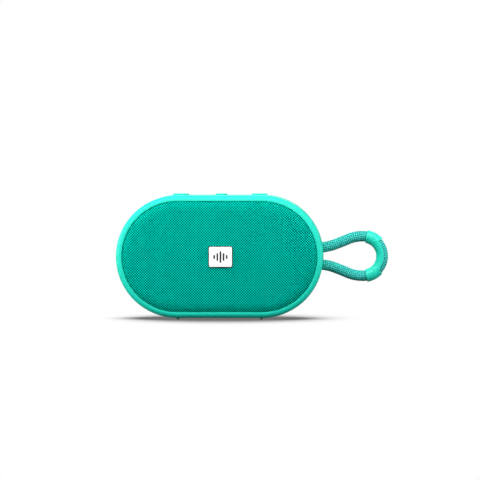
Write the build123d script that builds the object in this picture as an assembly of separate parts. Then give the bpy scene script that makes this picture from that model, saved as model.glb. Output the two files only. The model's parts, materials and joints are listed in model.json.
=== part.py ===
from build123d import *
import os
from math import cos, pi, radians, sin, sqrt, tan

# Portable loudspeaker: racetrack body with its cloth front facing -Y, the keys on top (+Z)
# and a rope carrying loop on the +X end. Origin at the bottom centre, millimetres.

# ---- driving dimensions ----
BODY_W = 120.0                  # overall width of the band, X
BODY_H = 70.9                   # overall height of the band, Z
FOOT_PROUD = 1.0                # feet below the band
WALL = 2.4                      # shell wall
CLEAR = 0.2                     # gap between pieces that only sit beside each other

CENTRE_Z = FOOT_PROUD + BODY_H / 2
END_R = BODY_H / 2              # round ends of the racetrack
STRAIGHT = BODY_W / 2 - END_R   # half length of the straight top and bottom
CAVITY_R = END_R - WALL

# stations along Y, front to back
BADGE_Y = -21.0
CLOTH_Y = -20.0
GRILLE_Y = -19.3
RIM_Y = -18.8
LEDGE_Y = -15.5
BAFFLE_Y = -12.5
BAFFLE_BACK_Y = -10.5
SPLIT_Y = 15.5
COVER_Y = 15.9
COVER_IN_Y = 18.8
REAR_Y = 21.0

RIM_ROUND = 3.0
REAR_ROUND = 4.0
GRILLE_W = 113.5                # opening in the band that takes the cloth front
GRILLE_H = 64.4
WINDOW_W = 104.0                # opening in the ledge behind it
WINDOW_H = 55.5
CLOTH_T = 0.6
CLOTH_ROUND = 3.0
GRILLE_T = 1.3
GRILLE_HOLE_R = 1.8
GRILLE_PITCH = 5.2

BADGE_W = 14.1
BADGE_H = 12.4
BADGE_X = 0.7                   # the badge and the middle key share one line, a little right of centre
BADGE_POST_Z = 3.5

KEY_D = 6.9                     # key size along Y
KEY_WIDE = 9.2
KEY_SIDE_X = 22.9
KEY_PLAY_X = 0.7
KEY_PROUD = 0.9
KEY_FLANGE_T = 0.8
KEY_CEILING_Z = 69.9
KEY_BOARD_Z = 66.0              # top of the key board
KEY_BOARD_X = 29.6              # half length and half depth of the board and its gasket
KEY_BOARD_Y = 4.9
KEY_GASKET_Z = 67.5
DOME_H = 0.6
BRACKET_X = 30.8                # half length and half depth of the tray that holds them
BRACKET_Y = 6.0
BRACKET_Z = 63.8
BRACKET_SCREW_X = 33.5

ROPE_R = 3.15
ROPE_Z = 5.0                    # the strands leave the body this far above and below its centre
ROPE_HOLE_R = 3.4
FERRULE_R = 3.85
HINGE_X = 63.0                  # the loop flexes about a vertical line just outside the band
BULB_X = 83.0                   # centre of the loop's round end
BULB_R = 11.5
GRIP_R = 3.8
GRIP_END_DEG = 80.0
GRIP_OPEN_DEG = 43.0

DRIVER_X = 23.5
DRIVER_SCREW = 17.8

SCREW_R = 0.98
BOSS_R = 3.0
CASE_BOSS_AT = 30.4             # distance of a case screw from the centre of the round end
CASE_BOSS_DEG = 57.0

PASSIVE_W = 53.0
PASSIVE_H = 31.0
PASSIVE_ROLL = 6.0

BATTERY_R = 9.15
BATTERY_L = 65.0
BATTERY_Y = 6.0
BATTERY_Z = 14.2

BOARD_Y = 8.0
BOARD_T = 1.0
BOARD_X = -43.0
BOARD_W = 18.0
BOARD_H = 32.0
BOARD_POSTS = [(x, z) for x in (-49.5, -36.6) for z in (-13.2, 13.2)]

PORT_X = -44.0
WELL_W = 10.0
WELL_H = 16.0
WELL_FLOOR_Y = 14.8
FLAP_HINGE_X = -51.2
FLAP_HINGE_Y = 20.6
FLAP_STEP_Y = 19.5


# ---- small helpers ----
def slab(shape, front, back, x=0.0, z=CENTRE_Z):
    """Flat shape drawn in XZ, thick from y = front to y = back."""
    plane = Plane(origin=(x, back, z), x_dir=(1, 0, 0), z_dir=(0, -1, 0))
    return extrude(plane * shape, back - front)


def track(width, height, front, back, x=0.0, z=CENTRE_Z):
    return slab(SlotOverall(width, height), front, back, x, z)


def soften(solid, y, radius):
    """Round every edge that lies in the plane y."""
    edges = [e for e in solid.edges() if abs(e.bounding_box().min.Y - y) < 1e-3
             and abs(e.bounding_box().max.Y - y) < 1e-3]
    return fillet(edges, radius)


def block(x0, x1, y0, y1, z0, z1):
    middle = Pos((x0 + x1) / 2, (y0 + y1) / 2, (z0 + z1) / 2)
    return middle * Box(abs(x1 - x0), abs(y1 - y0), abs(z1 - z0))


def rod_y(radius, y0, y1, x, z):
    return Pos(x, (y0 + y1) / 2, z) * Rot(90, 0, 0) * Cylinder(radius, y1 - y0)


def rod_x(radius, x0, x1, y, z):
    return Pos((x0 + x1) / 2, y, z) * Rot(0, 90, 0) * Cylinder(radius, x1 - x0)


def rod_z(radius, z0, z1, x, y):
    return Pos(x, y, (z0 + z1) / 2) * Cylinder(radius, z1 - z0)


def turned(points, x=0.0, z=CENTRE_Z):
    """Solid of revolution about a Y axis, from (radius, y) points."""
    profile = make_face(Polyline(*points, close=True))
    return Pos(x, 0, z) * revolve(profile, Axis.Y)


def screw_y(x, z, head_y, tip_y, head_r=1.7, head_t=1.0, shank_r=0.78):
    """Pan-head screw along Y: the head's underside at head_y, the tip at tip_y."""
    outward = 1 if head_y > tip_y else -1
    lo, hi = sorted((head_y, tip_y))
    shank = rod_y(shank_r, lo, hi, x, z)
    lo, hi = sorted((head_y, head_y + outward * head_t))
    head = rod_y(head_r, lo, hi, x, z)
    face = head_y + outward * head_t
    lo, hi = sorted((face, face - outward * 0.5))
    cross = block(x - 0.9, x + 0.9, lo, hi, z - 0.2, z + 0.2)
    cross += block(x - 0.2, x + 0.2, lo, hi, z - 0.9, z + 0.9)
    return shank + head - cross


def route_wire(points):
    """Straight runs joined by arcs, each as large as its two runs allow."""
    spots = [Vector(*p) for p in points]
    radii = []
    for before, here, after in zip(spots, spots[1:], spots[2:]):
        half_turn = radians((here - before).get_angle(after - here)) / 2
        run = min((here - before).length, (after - here).length)
        radii.append(0.45 * run / tan(half_turn))
    return FilletPolyline(*spots, radius=radii), radii


def tube(points, radius, name):
    wire, radii = route_wire(points)
    start = Plane(origin=wire @ 0, z_dir=wire % 0)
    solid = sweep(start * Circle(radius), path=wire)
    expected = pi * radius ** 2 * wire.length
    print(name, "length", round(wire.length, 1), "volume/expected",
          round(solid.volume / expected, 4), "radii", [round(r, 1) for r in radii])
    return solid


# ---- shell ----
def case_boss_places():
    dx = STRAIGHT + CASE_BOSS_AT * cos(radians(CASE_BOSS_DEG))
    dz = CASE_BOSS_AT * sin(radians(CASE_BOSS_DEG))
    return [(sx * dx, CENTRE_Z + sz * dz) for sx in (-1, 1) for sz in (-1, 1)]


def baffle_screw_places():
    ring_x = (WINDOW_W / 2 + BODY_W / 2 - WALL) / 2
    ring_z = (WINDOW_H / 2 + CAVITY_R) / 2
    sides = [(s * ring_x, CENTRE_Z) for s in (-1, 1)]
    corners = [(sx * STRAIGHT, CENTRE_Z + sz * ring_z) for sx in (-1, 1) for sz in (-1, 1)]
    return sides + corners


KEYS = {"minus_key": -KEY_SIDE_X, "play_key": KEY_PLAY_X, "plus_key": KEY_SIDE_X}


def key_outline(name, grow=0.0):
    if name == "play_key":
        return Circle(KEY_D / 2 + grow)
    return RectangleRounded(KEY_WIDE + 2 * grow, KEY_D + 2 * grow, KEY_D / 2 - 0.2 + grow)


ANCHOR_X = 50.0
ANCHOR_T = 2.0
ANCHOR_SCREW_Z = 11.5
FOOT_X = 24.2
FOOT_W = 1.2
FOOT_L = 30.0


def housing():
    body = soften(track(BODY_W, BODY_H, RIM_Y, SPLIT_Y), RIM_Y, RIM_ROUND)
    body -= track(GRILLE_W, GRILLE_H, RIM_Y - 1, LEDGE_Y)
    body -= track(WINDOW_W, WINDOW_H, LEDGE_Y - 1, BAFFLE_Y + 1)
    body -= track(BODY_W - 2 * WALL, BODY_H - 2 * WALL, BAFFLE_Y, SPLIT_Y + 1)
    for x, z in case_boss_places():
        body += rod_y(BOSS_R, BAFFLE_BACK_Y + CLEAR, SPLIT_Y, x, z)
        body -= rod_y(1.0, SPLIT_Y - 12, SPLIT_Y + 1, x, z)
    for x, z in baffle_screw_places():
        body -= rod_y(0.8, BAFFLE_Y - 2.4, BAFFLE_Y + 1, x, z)
    pocket_x = BRACKET_X + CLEAR
    pocket_y = BRACKET_Y + 0.3
    body -= block(-pocket_x, pocket_x, -pocket_y, pocket_y, CENTRE_Z, KEY_CEILING_Z)
    for name, x in KEYS.items():
        hole = extrude(Pos(x, 0, KEY_CEILING_Z - 1) * key_outline(name, CLEAR), 5)
        body -= hole
    for x in (-BRACKET_SCREW_X, BRACKET_SCREW_X):
        body += rod_z(2.4, 65.0, 69.4, x, 0)
        body -= rod_z(0.8, 64.0, 68.6, x, 0)
    for dz in (-ANCHOR_SCREW_Z, ANCHOR_SCREW_Z):
        body += rod_x(2.6, ANCHOR_X + ANCHOR_T, 56.8, 0, CENTRE_Z + dz)
        body -= rod_x(0.8, ANCHOR_X, 56.6, 0, CENTRE_Z + dz)
    for dz in (-ROPE_Z, ROPE_Z):
        body -= rod_x(ROPE_HOLE_R, 54, 62, 0, CENTRE_Z + dz)
    for x in (-FOOT_X, FOOT_X):
        half_w = FOOT_W / 2 + 0.05
        half_l = FOOT_L / 2 + 0.05
        body -= block(x - half_w, x + half_w, -half_l, half_l, 0, FOOT_PROUD + 0.8)
    return body


def rear_cover():
    cover = soften(track(BODY_W, BODY_H, COVER_Y, REAR_Y), REAR_Y, REAR_ROUND)
    cover -= track(BODY_W - 2 * WALL, BODY_H - 2 * WALL, COVER_Y - 1, COVER_IN_Y)
    for x, z in case_boss_places():
        cover += rod_y(3.8, COVER_Y, COVER_IN_Y, x, z) & track(BODY_W - 1, BODY_H - 1, 0, 30)
        cover -= rod_y(1.2, COVER_Y - 1, REAR_Y + 1, x, z)
        cover -= rod_y(2.6, COVER_IN_Y - 0.8, REAR_Y + 1, x, z)
    cover -= track(PASSIVE_W, PASSIVE_H, COVER_Y, REAR_Y + 1)
    half_w = WELL_W / 2
    half_h = WELL_H / 2
    cover += block(PORT_X - half_w - 1.2, PORT_X + half_w + 1.2, WELL_FLOOR_Y - 1, COVER_IN_Y,
                   CENTRE_Z - half_h - 1.2, CENTRE_Z + half_h + 1.2)
    cover -= block(PORT_X - half_w, PORT_X + half_w, WELL_FLOOR_Y, REAR_Y + 1,
                   CENTRE_Z - half_h, CENTRE_Z + half_h)
    cover -= slab(RectangleRounded(3.6, 9.3, 1.7), WELL_FLOOR_Y - 2, WELL_FLOOR_Y + 1, PORT_X)
    cover -= block(FLAP_HINGE_X + 1.2, PORT_X + half_w + 1.4, FLAP_STEP_Y, REAR_Y + 1,
                   CENTRE_Z - 9.6, CENTRE_Z + 9.6)
    cover -= block(-55.2, FLAP_HINGE_X + 1.3, FLAP_STEP_Y, REAR_Y + 1,
                   CENTRE_Z - 5.4, CENTRE_Z + 5.4)
    cover -= rod_y(1.25, COVER_IN_Y - 1, FLAP_STEP_Y + 1, -53.9, CENTRE_Z)
    for x, dz in BOARD_POSTS:
        cover += rod_y(2.2, BOARD_Y + BOARD_T, COVER_IN_Y, x, CENTRE_Z + dz)
        cover -= rod_y(0.8, BOARD_Y, BOARD_Y + BOARD_T + 5, x, CENTRE_Z + dz)
    cover -= rod_y(1.05, COVER_IN_Y - 1, REAR_Y + 1, PORT_X + 1, CENTRE_Z + 13.2)
    return cover


def main_gasket():
    outer = track(BODY_W - 2.4, BODY_H - 2.4, SPLIT_Y, COVER_Y)
    return outer - track(BODY_W - 2 * WALL + 0.2, BODY_H - 2 * WALL + 0.2, SPLIT_Y - 1, COVER_Y + 1)


def case_screws():
    seat = COVER_IN_Y - 0.8
    return [screw_y(x, z, seat, seat - 10, 2.1, 1.4, SCREW_R) for x, z in case_boss_places()]


def front_baffle():
    plate = track(BODY_W - 2 * WALL - 0.4, BODY_H - 2 * WALL - 0.4, BAFFLE_Y, BAFFLE_BACK_Y)
    for x in (-DRIVER_X, DRIVER_X):
        plate -= rod_y(19.4, BAFFLE_Y - 1, BAFFLE_BACK_Y + 1, x, CENTRE_Z)
    for x, z in baffle_screw_places():
        plate -= rod_y(1.0, BAFFLE_Y - 1, BAFFLE_BACK_Y + 1, x, z)
    for x, z in driver_screw_places():
        plate -= rod_y(0.8, BAFFLE_Y - 1, BAFFLE_BACK_Y + 1, x, z)
    return plate


def baffle_screws():
    return [screw_y(x, z, BAFFLE_BACK_Y, BAFFLE_Y - 2.2) for x, z in baffle_screw_places()]


def grille_plate():
    width = GRILLE_W - 2 * (CLOTH_T + 0.3)
    height = GRILLE_H - 2 * (CLOTH_T + 0.3)
    plate = soften(track(width, height, GRILLE_Y, LEDGE_Y), GRILLE_Y, CLOTH_ROUND - 0.6)
    plate -= track(width - 3.2, height - 3.2, GRILLE_Y + GRILLE_T, LEDGE_Y + 1)
    row_h = GRILLE_PITCH * sqrt(3) / 2
    holes = []
    for centre in (-DRIVER_X, DRIVER_X):
        for row in range(-4, 5):
            shift = GRILLE_PITCH / 2 if row % 2 else 0.0
            for col in range(-4, 5):
                x = col * GRILLE_PITCH + shift
                z = row * row_h
                if x * x + z * z < 19.5 ** 2:
                    holes.append(rod_y(GRILLE_HOLE_R, GRILLE_Y - 1, LEDGE_Y, centre + x, CENTRE_Z + z))
    plate -= holes
    for dz in (-BADGE_POST_Z, BADGE_POST_Z):
        plate -= rod_y(0.9, GRILLE_Y - 1, LEDGE_Y, BADGE_X, CENTRE_Z + dz)
    return plate


def fabric_cover():
    width = GRILLE_W - 0.4
    height = GRILLE_H - 0.4
    cloth = soften(track(width, height, CLOTH_Y, LEDGE_Y - CLEAR), CLOTH_Y, CLOTH_ROUND)
    inner = track(width - 2 * CLOTH_T, height - 2 * CLOTH_T, CLOTH_Y + CLOTH_T, LEDGE_Y + 1)
    cloth -= soften(inner, CLOTH_Y + CLOTH_T, CLOTH_ROUND - 0.5)
    for dz in (-BADGE_POST_Z, BADGE_POST_Z):
        cloth -= rod_y(0.9, CLOTH_Y - 1, LEDGE_Y, BADGE_X, CENTRE_Z + dz)
    return cloth


def foot(x):
    rail = block(x - FOOT_W / 2, x + FOOT_W / 2, -FOOT_L / 2, FOOT_L / 2, 0, FOOT_PROUD + 0.75)
    bottom = rail.edges().filter_by_position(Axis.Z, -0.01, 0.01)
    return fillet(bottom, 0.25)


# ---- badge ----
def badge_backing():
    plate = slab(RectangleRounded(BADGE_W, BADGE_H, 1.2), CLOTH_Y - 0.5, CLOTH_Y, BADGE_X)
    for dz in (-BADGE_POST_Z, BADGE_POST_Z):
        plate += rod_y(0.8, CLOTH_Y - 0.2, GRILLE_Y + GRILLE_T + 0.6, BADGE_X, CENTRE_Z + dz)
    return plate


def badge_plate():
    face = slab(RectangleRounded(BADGE_W - 0.9, BADGE_H - 0.9, 0.8), BADGE_Y + 0.1, CLOTH_Y - 0.5, BADGE_X)
    for bar in badge_bar_solids(0.02):
        face -= bar
    return face


def badge_bar_solids(grow=0.0):
    bars = []
    for step, height in zip(range(-2, 3), (2.4, 4.6, 6.8, 4.6, 2.4)):
        shape = SlotOverall(height + 2 * grow, 1.0 + 2 * grow, rotation=90)
        bars.append(slab(shape, BADGE_Y, BADGE_Y + 0.3 + grow, BADGE_X + step * 1.8))
    return bars


# ---- keys ----
def key(name):
    x = KEYS[name]
    top = FOOT_PROUD + BODY_H + KEY_PROUD
    cap = extrude(Pos(x, 0, KEY_CEILING_Z - 0.2) * key_outline(name), top - KEY_CEILING_Z + 0.2)
    rim = cap.edges().filter_by_position(Axis.Z, top - 0.01, top + 0.01)
    cap = chamfer(rim, 0.35)
    flange_z = KEY_CEILING_Z - 0.2 - KEY_FLANGE_T
    cap += extrude(Pos(x, 0, flange_z) * key_outline(name, 0.9), KEY_FLANGE_T)
    cap += rod_z(1.5, KEY_BOARD_Z + DOME_H, flange_z + 0.1, x, 0)
    return cap - key_mark(name, x, top)


def key_mark(name, x, top):
    depth = 0.25
    if name == "play_key":
        sign = extrude(Pos(x, 0, top - depth) * RegularPolygon(1.7, 3), 1)
    else:
        sign = block(x - 1.8, x + 1.8, -0.35, 0.35, top - depth, top + 1)
        if name == "plus_key":
            sign += block(x - 0.35, x + 0.35, -1.8, 1.8, top - depth, top + 1)
    return sign


def key_gasket():
    strip = block(-KEY_BOARD_X, KEY_BOARD_X, -KEY_BOARD_Y, KEY_BOARD_Y, KEY_GASKET_Z, KEY_GASKET_Z + 0.8)
    for x in KEYS.values():
        strip -= rod_z(2.1, KEY_GASKET_Z - 1, KEY_GASKET_Z + 2, x, 0)
    return strip


def key_domes():
    return [Pos(x, 0, KEY_BOARD_Z + DOME_H / 2) * Cone(2.4, 1.4, DOME_H) for x in KEYS.values()]


def key_board():
    return block(-KEY_BOARD_X, KEY_BOARD_X, -KEY_BOARD_Y, KEY_BOARD_Y, KEY_BOARD_Z - 1, KEY_BOARD_Z)


def key_bracket():
    """Tray under the keys: its ledges carry the gasket, its ears take the screws."""
    in_x = KEY_BOARD_X + 0.1
    in_y = KEY_BOARD_Y + 0.1
    tray = block(-BRACKET_X, BRACKET_X, -BRACKET_Y, BRACKET_Y, BRACKET_Z, KEY_CEILING_Z)
    tray -= block(-in_x, in_x, -in_y, in_y, KEY_BOARD_Z - 1, 80)
    for side in (-1, 1):
        tray += block(-in_x, in_x, side * in_y, side * (in_y - 0.8), KEY_BOARD_Z, KEY_GASKET_Z)
        tray += block(side * BRACKET_X, side * 36.0, -3.0, 3.0, BRACKET_Z, BRACKET_Z + 1.2)
        tray -= rod_z(1.0, BRACKET_Z - 1, BRACKET_Z + 2, side * BRACKET_SCREW_X, 0)
        tray -= block(side * 29.0, side * (BRACKET_X + 0.7), -7, 7, 68.0, 75)
    lead_notch = block(-22.5, -17.5, 3.0, 7.0, 65.0, 66.9)
    return tray - lead_notch


def bracket_screws():
    screws = []
    for x in (-BRACKET_SCREW_X, BRACKET_SCREW_X):
        head = rod_z(1.7, BRACKET_Z - 1, BRACKET_Z, x, 0)
        cross = block(x - 0.9, x + 0.9, -0.2, 0.2, BRACKET_Z - 1, BRACKET_Z - 0.5)
        screws.append(head + rod_z(0.78, BRACKET_Z, 68.2, x, 0) - cross)
    return screws


# ---- carrying loop ----
def loop_side(sign):
    """Corners of one strand from the hinge line to the round end, then half of that end."""
    corner = BULB_R / cos(pi / 8)
    points = [(HINGE_X, 5.5), (70.3, 8.1), (BULB_X - corner * sin(pi / 8), BULB_R)]
    points += [(BULB_X + corner * sin(a), corner * cos(a)) for a in (pi / 8, 3 * pi / 8)]
    return [(x, 0, CENTRE_Z + sign * dz) for x, dz in points]


def lanyard_cord():
    route = loop_side(1) + loop_side(-1)[::-1]
    rope = tube(route, ROPE_R, "lanyard_cord")
    for x, y, z in (route[0], route[-1]):
        rope += Pos(x, y, z) * Sphere(ROPE_R)
    return rope


def lanyard_cord_ends():
    return [rod_x(ROPE_R - 0.05, 46.2, HINGE_X - ROPE_R - 0.1, 0, CENTRE_Z + dz)
            for dz in (-ROPE_Z, ROPE_Z)]


def lanyard_grip():
    section = Plane.XY * (Pos(BULB_R, 0) * (Circle(GRIP_R) - Circle(ROPE_R + 0.1)))
    sleeve = Rot(0, -GRIP_END_DEG, 0) * revolve(section, Axis.Y, 2 * GRIP_END_DEG)
    outside = Plane.XY * (Pos(BULB_R + 5.5, 0) * Rectangle(10, 20))
    back = Rot(0, -GRIP_OPEN_DEG, 0) * revolve(outside, Axis.Y, 2 * GRIP_OPEN_DEG)
    return Pos(BULB_X, 0, CENTRE_Z) * (sleeve - back)


def cord_ferrules():
    return [rod_x(FERRULE_R, 46.2, ANCHOR_X, 0, CENTRE_Z + dz) - rod_x(ROPE_R, 46, 51, 0, CENTRE_Z + dz)
            for dz in (-ROPE_Z, ROPE_Z)]


def lanyard_anchor():
    plate = block(ANCHOR_X, ANCHOR_X + ANCHOR_T, -6, 6, CENTRE_Z - 15, CENTRE_Z + 15)
    for dz in (-ROPE_Z, ROPE_Z):
        plate -= rod_x(ROPE_R + 0.1, 49, 53, 0, CENTRE_Z + dz)
    for dz in (-ANCHOR_SCREW_Z, ANCHOR_SCREW_Z):
        plate -= rod_x(1.0, 49, 53, 0, CENTRE_Z + dz)
    return plate


def anchor_screws():
    screws = []
    for dz in (-ANCHOR_SCREW_Z, ANCHOR_SCREW_Z):
        z = CENTRE_Z + dz
        screws.append(rod_x(1.7, ANCHOR_X - 1, ANCHOR_X, 0, z) + rod_x(0.78, ANCHOR_X, 56.2, 0, z)
                      - block(ANCHOR_X - 1, ANCHOR_X - 0.5, -0.2, 0.2, z - 0.9, z + 0.9))
    return screws


# ---- charging port ----
def port_flap():
    edge = PORT_X + WELL_W / 2 + 1.2
    flap = block(FLAP_HINGE_X + 1.6, edge, FLAP_STEP_Y + 0.1, REAR_Y - 0.1,
                 CENTRE_Z - 9.4, CENTRE_Z + 9.4)
    flap = fillet(flap.edges().filter_by(Axis.Y), 1.0)
    flap += block(FLAP_HINGE_X + 0.45, FLAP_HINGE_X + 1.8, FLAP_HINGE_Y - 0.3, REAR_Y - 0.1,
                  CENTRE_Z - 5.0, CENTRE_Z + 5.0)
    grip = rod_y(1.2, REAR_Y - 0.5, REAR_Y + 0.1, edge - 0.4, CENTRE_Z)
    return flap - grip


def flap_anchor():
    strap = block(-55.0, FLAP_HINGE_X - 1.6, FLAP_STEP_Y, REAR_Y - 0.1, CENTRE_Z - 5, CENTRE_Z + 5)
    strap += block(FLAP_HINGE_X - 1.8, FLAP_HINGE_X - 0.45, FLAP_HINGE_Y - 0.3, REAR_Y - 0.1,
                   CENTRE_Z - 5.0, CENTRE_Z + 5.0)
    strap += rod_y(1.2, COVER_IN_Y - 0.3, FLAP_STEP_Y + 0.1, -53.9, CENTRE_Z)
    return strap + rod_y(1.7, COVER_IN_Y - 0.9, COVER_IN_Y, -53.9, CENTRE_Z)


def usb_socket():
    back = BOARD_Y + BOARD_T
    shell = slab(RectangleRounded(3.2, 8.94, 1.5), back, WELL_FLOOR_Y, PORT_X)
    shell -= slab(RectangleRounded(2.56, 8.3, 1.2), back + 0.6, WELL_FLOOR_Y + 1, PORT_X)
    tongue = block(PORT_X - 0.35, PORT_X + 0.35, back + 0.6, WELL_FLOOR_Y - 0.5,
                   CENTRE_Z - 3.3, CENTRE_Z + 3.3)
    return [shell, tongue]


def status_light():
    x = PORT_X + 1
    z = CENTRE_Z + 13.2
    return rod_y(1.0, COVER_IN_Y - 0.4, REAR_Y, x, z) + rod_y(1.6, COVER_IN_Y - 1.0, COVER_IN_Y, x, z)


# ---- electronics ----
def main_board():
    board = slab(RectangleRounded(BOARD_W, BOARD_H, 1.0), BOARD_Y, BOARD_Y + BOARD_T, BOARD_X)
    for x, dz in BOARD_POSTS:
        board -= rod_y(1.0, BOARD_Y - 1, BOARD_Y + BOARD_T + 1, x, CENTRE_Z + dz)
    return board


def board_shield():
    return block(-48.0, -38.0, BOARD_Y - 1.8, BOARD_Y, CENTRE_Z - 3.0, CENTRE_Z + 8.5)


def board_chips():
    spots = [(-46.0, -6.5, 4.0, 4.0), (-40.2, -6.5, 3.0, 3.0), (-40.2, -10.2, 1.6, 1.6)]
    return [block(x - w / 2, x + w / 2, BOARD_Y - 0.9, BOARD_Y, CENTRE_Z + dz - h / 2,
                  CENTRE_Z + dz + h / 2) for x, dz, w, h in spots]


CONNECTOR_PLACES = {"battery_lead": (-43.5, -14.2, -10.8), "left_driver": (-41.2, 11.6, 15.2),
                    "right_driver": (-45.4, 11.6, 15.2)}
CONNECTOR_W = 3.6
WIRE_GAP = 0.4                  # the leads stop this far short of their connectors


def board_connectors():
    half = CONNECTOR_W / 2
    return [block(x - half, x + half, BOARD_Y - 3.2, BOARD_Y, CENTRE_Z + low, CENTRE_Z + high)
            for x, low, high in CONNECTOR_PLACES.values()]


def board_screws():
    return [screw_y(x, CENTRE_Z + dz, BOARD_Y, BOARD_Y + 5.5) for x, dz in BOARD_POSTS]


def battery_cell():
    half = BATTERY_L / 2
    cell = rod_x(BATTERY_R, -half, half - 0.8, BATTERY_Y, BATTERY_Z)
    return cell + rod_x(2.8, half - 1, half, BATTERY_Y, BATTERY_Z)


def battery_tray():
    trough = rod_x(BATTERY_R + 1.05, -30, 30, BATTERY_Y, BATTERY_Z)
    trough -= rod_x(BATTERY_R + 0.1, -31, 31, BATTERY_Y, BATTERY_Z)
    return trough - block(-31, 31, -20, 30, BATTERY_Z, 60)


def battery_board():
    half = BATTERY_L / 2
    return block(-half - 2.1, -half - 1.1, BATTERY_Y - 6, BATTERY_Y + 6, BATTERY_Z - 6, BATTERY_Z + 6)


def battery_strips():
    half = BATTERY_L / 2
    top = BATTERY_Z + BATTERY_R + 0.1
    minus_tab = block(-half - 1.1, -half, BATTERY_Y - 2, BATTERY_Y + 2, BATTERY_Z - 2, BATTERY_Z + 2)
    strip = block(half, half + 0.3, BATTERY_Y - 1.5, BATTERY_Y + 1.5, BATTERY_Z - 2, top + 0.3)
    strip += block(-half - 1.1, half + 0.3, BATTERY_Y - 1.5, BATTERY_Y + 1.5, top, top + 0.3)
    strip += block(-half - 1.1, -half - 0.8, BATTERY_Y - 1.5, BATTERY_Y + 1.5, BATTERY_Z + 5, top + 0.3)
    return [minus_tab, strip]


def battery_lead():
    x, low, _ = CONNECTOR_PLACES["battery_lead"]
    route = [(-BATTERY_L / 2 - 2.2, BATTERY_Y - 3, BATTERY_Z + 2), (-39.0, BATTERY_Y - 3.5, BATTERY_Z + 2.3),
             (x, 5.0, BATTERY_Z + 4.0), (x, 6.2, CENTRE_Z + low - WIRE_GAP)]
    return tube(route, 0.7, "battery_lead")


def driver_leads():
    x, _, high = CONNECTOR_PLACES["left_driver"]
    left = [(-27.0, -5.0, CENTRE_Z + 15.8), (-27.5, -3.5, CENTRE_Z + 20.0), (-33.0, 2.0, CENTRE_Z + 21.0),
            (x, 5.6, CENTRE_Z + 19.6), (x - 0.2, 6.2, CENTRE_Z + high + WIRE_GAP)]
    x, _, high = CONNECTOR_PLACES["right_driver"]
    right = [(27.0, -5.0, CENTRE_Z + 15.8), (26.0, -3.0, CENTRE_Z + 20.5), (19.0, 3.5, CENTRE_Z + 22.6),
             (5.0, 6.6, CENTRE_Z + 23.0), (-12.0, 7.6, CENTRE_Z + 22.4), (-28.0, 8.0, CENTRE_Z + 21.6),
             (-38.0, 8.3, CENTRE_Z + 20.3), (x + 0.3, 7.2, CENTRE_Z + 19.3),
             (x, 6.2, CENTRE_Z + high + WIRE_GAP)]
    return [tube(left, 0.7, "left driver lead"), tube(right, 0.7, "right driver lead")]


def key_lead():
    route = [(-20.0, 5.0, 65.9), (-20.2, 8.4, 65.4), (-22.0, 11.0, 62.5), (-27.5, 11.6, 59.4),
             (-34.0, 11.4, 57.0), (-36.6, 10.4, 55.0), (-38.4, 8.5, 53.3)]
    return tube(route, 0.6, "key_lead")


# ---- drivers ----
def driver_screw_places():
    return [(x + sx * DRIVER_SCREW, CENTRE_Z + sz * DRIVER_SCREW)
            for x in (-DRIVER_X, DRIVER_X) for sx in (-1, 1) for sz in (-1, 1)]


def driver_basket(x):
    frame = slab(RectangleRounded(41.6, 41.6, 5.0), -13.7, -12.5, x)
    frame -= rod_y(17.4, -14, -12, x, CENTRE_Z)
    cup = [(17.4, -12.5), (19.2, -12.5), (14.2, -3.0), (14.2, -2.0), (7.4, -2.0), (7.4, -3.0), (13.2, -3.0)]
    frame += turned(cup, x)
    for angle in (0, 90):
        window = Pos(x, -7.0, CENTRE_Z) * Rot(0, angle, 0) * Box(50, 4.0, 9.0)
        frame -= window
    for cx, cz in driver_screw_places():
        frame -= rod_y(1.0, -15, -12, cx, cz)
    return frame


def driver_magnet(x):
    return rod_y(13.0, -0.4, 3.8, x, CENTRE_Z) - rod_y(7.5, -1, 5, x, CENTRE_Z)


def driver_top_plate(x):
    return rod_y(12.0, -2.0, -0.4, x, CENTRE_Z) - rod_y(6.7, -3, 0, x, CENTRE_Z)


def driver_yoke(x):
    return rod_y(12.0, 3.8, 5.4, x, CENTRE_Z) + rod_y(5.6, -1.8, 4.0, x, CENTRE_Z)


def driver_screws():
    return [screw_y(x, z, -13.7, -10.6) for x, z in driver_screw_places()]


def driver_cone(x):
    front = [(0, -9.2), (3.5, -8.8), (6.2, -7.6), (13.8, -13.6)]
    back = [(13.8, -13.1), (6.6, -6.4), (6.35, -6.4), (6.35, -7.0), (3.4, -8.3), (0, -8.7)]
    return turned(front + back, x)


def driver_coil(x):
    return rod_y(6.35, -6.9, 1.2, x, CENTRE_Z) - rod_y(5.95, -8, 2, x, CENTRE_Z)


def driver_surround(x):
    roll = Circle(1.78) - Circle(1.38)
    roll &= Pos(0, -1.0) * Rectangle(4, 2)
    section = Pos(15.6, -13.4) * roll + Pos(18.0, -13.9) * Rectangle(1.6, 0.4)
    section += Pos(17.25, -13.6) * Rectangle(0.24, 0.6)
    return Pos(x, 0, CENTRE_Z) * revolve(Plane.XY * section, Axis.Y)


def driver_spider(x):
    radii = [6.4, 7.6, 8.8, 10.0, 11.2, 12.4, 13.4]
    front = [(r, -4.6 + (0.5 if i % 2 else 0.0)) for i, r in enumerate(radii)]
    back = [(r, y + 0.3) for r, y in reversed(front)]
    return turned(front + back, x)


# ---- passive radiator ----
def passive_frame():
    ring = track(PASSIVE_W + 11, PASSIVE_H + 11, 16.8, 18.4)
    return ring - track(PASSIVE_W - 0.4, PASSIVE_H - 0.4, 16, 19)


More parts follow.
